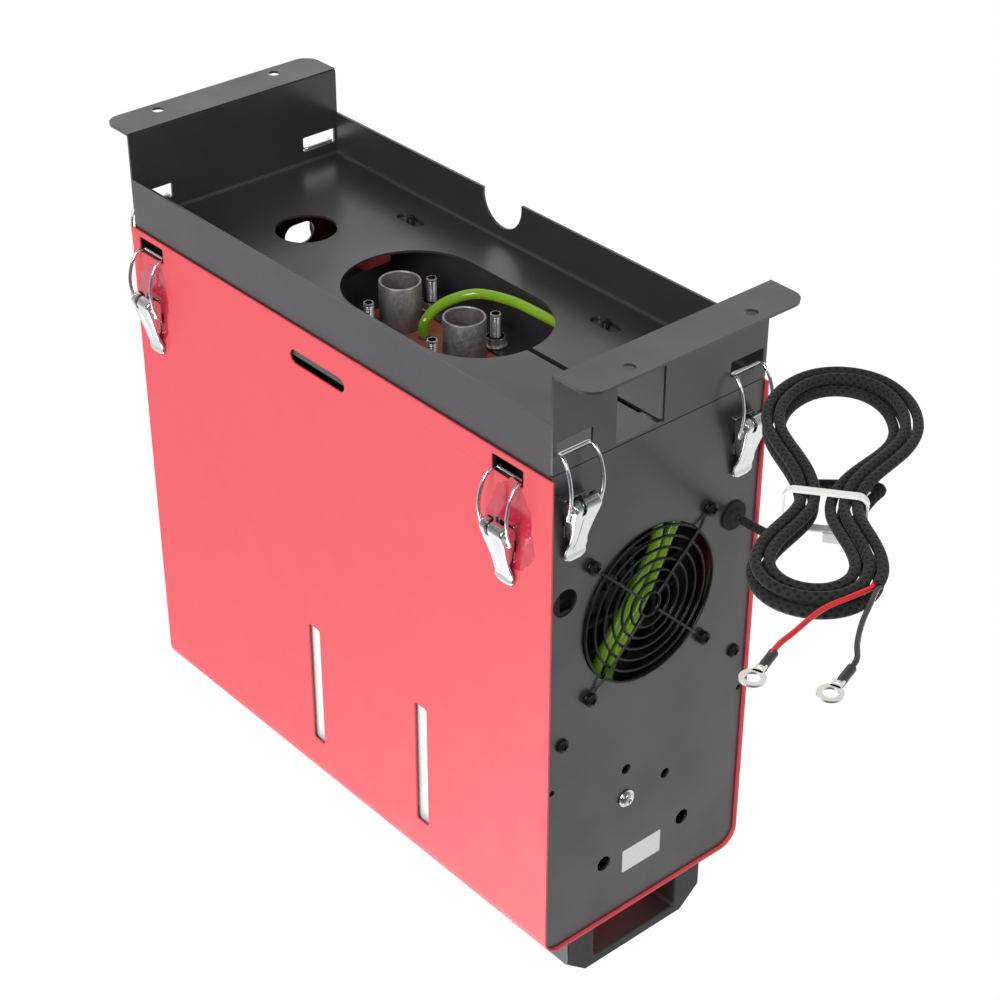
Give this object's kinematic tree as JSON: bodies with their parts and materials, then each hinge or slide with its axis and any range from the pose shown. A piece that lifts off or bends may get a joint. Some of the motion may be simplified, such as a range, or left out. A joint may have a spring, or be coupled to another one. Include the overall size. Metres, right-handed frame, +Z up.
{
  "type": "portable diesel air heater",
  "caption": "Upright sheet-metal case on two feet holding a diesel air heater, its fuel tank and pump, with a fan guard, draw latches, top handles and a hanked power lead.",
  "frame": {"origin": "on the ground under the middle of the case", "axes": "+X towards the hot-air end, -X towards the intake end with the fan guard, -Y out of the front of the red cover, +Z up"},
  "size_m": [0.6325, 0.2604, 0.398],
  "materials": {
    "red_paint": "glossy red powder coat",
    "black_paint": "satin black powder coat",
    "zinc": "bright zinc plate",
    "steel": "dull grey steel",
    "aluminium": "as cast",
    "black_plastic": "fine moulded grain",
    "white_plastic": "natural white, slightly glossy",
    "green_hose": "clear yellow-green fuel hose",
    "rubber": "matt black rubber",
    "gasket": "brown sealing board",
    "circuit_board": "green lacquer",
    "red_insulation": "smooth red insulation"
  },
  "bodies": {
    "case": {"base_tray": "black_paint", "outer_cover": "red_paint", "intake_end_plate": "black_paint", "outlet_end_plate": "black_paint", "tank_shelf": "black_paint", "fan_guard": "black_paint", "guard_screw_1": "black_paint", "guard_screw_2": "black_paint", "guard_screw_3": "black_paint", "guard_screw_4": "black_paint", "shelf_screw_1": "black_paint", "shelf_screw_2": "black_paint", "pump_screw": "zinc", "carry_handle_intake": "black_plastic", "carry_handle_outlet": "black_plastic", "heater_bridge": "black_paint", "base_gasket": "gasket", "heat_exchanger": "aluminium", "air_pipe": "steel", "exhaust_pipe": "steel", "burner_tube": "steel", "glow_plug": "steel", "fan_motor": "black_plastic", "lower_casing": "black_plastic", "upper_casing": "black_plastic", "intake_grille": "black_plastic", "outlet_collar": "black_plastic", "control_board": "circuit_board", "fuel_tank": "white_plastic", "fuel_pump": "steel", "pump_clip": "rubber", "fuel_filter": "white_plastic", "suction_hose": "green_hose", "filter_hose": "green_hose", "pressure_hose": "green_hose", "harness_grommet": "rubber", "harness_run": "black_plastic", "harness_hank": "black_plastic", "cable_tie": "white_plastic", "red_lead": "red_insulation", "black_lead": "black_plastic"},
    "lever_intake_front": {"lever_intake_front": "zinc"},
    "bail_intake_front": {"bail_intake_front": "zinc"},
    "lever_intake_back": {"lever_intake_back": "zinc"},
    "bail_intake_back": {"bail_intake_back": "zinc"},
    "lever_outlet_front": {"lever_outlet_front": "zinc"},
    "bail_outlet_front": {"bail_outlet_front": "zinc"},
    "lever_outlet_back": {"lever_outlet_back": "zinc"},
    "bail_outlet_back": {"bail_outlet_back": "zinc"},
    "lever_front_left": {"lever_front_left": "zinc"},
    "bail_front_left": {"bail_front_left": "zinc"},
    "lever_front_right": {"lever_front_right": "zinc"},
    "bail_front_right": {"bail_front_right": "zinc"},
    "lever_back_left": {"lever_back_left": "zinc"},
    "bail_back_left": {"bail_back_left": "zinc"},
    "lever_back_right": {"lever_back_right": "zinc"},
    "bail_back_right": {"bail_back_right": "zinc"},
    "rotor": {"motor_shaft": "steel", "blower_wheel": "black_plastic"},
    "cap": {"filler_cap": "black_plastic"}
  },
  "joints": [
    {"name": "lever_hinge_intake_front", "type": "hinge", "parent": "case", "child": "lever_intake_front", "pos_m": [-0.1862, -0.0587, 0.074], "axis": [0, -1, 0], "range_deg": [0, 115]},
    {"name": "bail_pivot_intake_front", "type": "hinge", "parent": "lever_intake_front", "child": "bail_intake_front", "pos_m": [-0.1852, -0.0587, 0.08], "axis": [0, -1, 0], "range_deg": [-143.75, 0]},
    {"name": "lever_hinge_intake_back", "type": "hinge", "parent": "case", "child": "lever_intake_back", "pos_m": [-0.1862, 0.0587, 0.074], "axis": [0, -1, 0], "range_deg": [0, 115]},
    {"name": "bail_pivot_intake_back", "type": "hinge", "parent": "lever_intake_back", "child": "bail_intake_back", "pos_m": [-0.1852, 0.0587, 0.08], "axis": [0, -1, 0], "range_deg": [-143.75, 0]},
    {"name": "lever_hinge_outlet_front", "type": "hinge", "parent": "case", "child": "lever_outlet_front", "pos_m": [0.1862, -0.0587, 0.074], "axis": [0, 1, 0], "range_deg": [0, 115]},
    {"name": "bail_pivot_outlet_front", "type": "hinge", "parent": "lever_outlet_front", "child": "bail_outlet_front", "pos_m": [0.1852, -0.0587, 0.08], "axis": [0, 1, 0], "range_deg": [-143.75, 0]},
    {"name": "lever_hinge_outlet_back", "type": "hinge", "parent": "case", "child": "lever_outlet_back", "pos_m": [0.1862, 0.0587, 0.074], "axis": [0, 1, 0], "range_deg": [0, 115]},
    {"name": "bail_pivot_outlet_back", "type": "hinge", "parent": "lever_outlet_back", "child": "bail_outlet_back", "pos_m": [0.1852, 0.0587, 0.08], "axis": [0, 1, 0], "range_deg": [-143.75, 0]},
    {"name": "lever_hinge_front_left", "type": "hinge", "parent": "case", "child": "lever_front_left", "pos_m": [-0.148, -0.0817, 0.0975], "axis": [1, 0, 0], "range_deg": [0, 115]},
    {"name": "bail_pivot_front_left", "type": "hinge", "parent": "lever_front_left", "child": "bail_front_left", "pos_m": [-0.148, -0.0807, 0.1035], "axis": [1, 0, 0], "range_deg": [-143.75, 0]},
    {"name": "lever_hinge_front_right", "type": "hinge", "parent": "case", "child": "lever_front_right", "pos_m": [0.1616, -0.0817, 0.0975], "axis": [1, 0, 0], "range_deg": [0, 115]},
    {"name": "bail_pivot_front_right", "type": "hinge", "parent": "lever_front_right", "child": "bail_front_right", "pos_m": [0.1616, -0.0807, 0.1035], "axis": [1, 0, 0], "range_deg": [-143.75, 0]},
    {"name": "lever_hinge_back_left", "type": "hinge", "parent": "case", "child": "lever_back_left", "pos_m": [-0.148, 0.0817, 0.0975], "axis": [-1, 0, 0], "range_deg": [0, 115]},
    {"name": "bail_pivot_back_left", "type": "hinge", "parent": "lever_back_left", "child": "bail_back_left", "pos_m": [-0.148, 0.0807, 0.1035], "axis": [-1, 0, 0], "range_deg": [-143.75, 0]},
    {"name": "lever_hinge_back_right", "type": "hinge", "parent": "case", "child": "lever_back_right", "pos_m": [0.1616, 0.0817, 0.0975], "axis": [-1, 0, 0], "range_deg": [0, 115]},
    {"name": "bail_pivot_back_right", "type": "hinge", "parent": "lever_back_right", "child": "bail_back_right", "pos_m": [0.1616, 0.0807, 0.1035], "axis": [-1, 0, 0], "range_deg": [-143.75, 0]},
    {"name": "rotor_spin", "type": "hinge", "parent": "case", "child": "rotor", "pos_m": [-0.12, -0.0042, 0.1611], "axis": [1, 0, 0], "continuous": true},
    {"name": "cap_turn", "type": "hinge", "parent": "case", "child": "cap", "pos_m": [0.07, 0, 0.38], "axis": [0, 0, 1], "range_deg": [0, 360]}
  ],
  "couplings": [
    {"joint": "bail_pivot_intake_front", "follows": "lever_hinge_intake_front", "ratio": -1.25},
    {"joint": "bail_pivot_intake_back", "follows": "lever_hinge_intake_back", "ratio": -1.25},
    {"joint": "bail_pivot_outlet_front", "follows": "lever_hinge_outlet_front", "ratio": -1.25},
    {"joint": "bail_pivot_outlet_back", "follows": "lever_hinge_outlet_back", "ratio": -1.25},
    {"joint": "bail_pivot_front_left", "follows": "lever_hinge_front_left", "ratio": -1.25},
    {"joint": "bail_pivot_front_right", "follows": "lever_hinge_front_right", "ratio": -1.25},
    {"joint": "bail_pivot_back_left", "follows": "lever_hinge_back_left", "ratio": -1.25},
    {"joint": "bail_pivot_back_right", "follows": "lever_hinge_back_right", "ratio": -1.25}
  ]
}
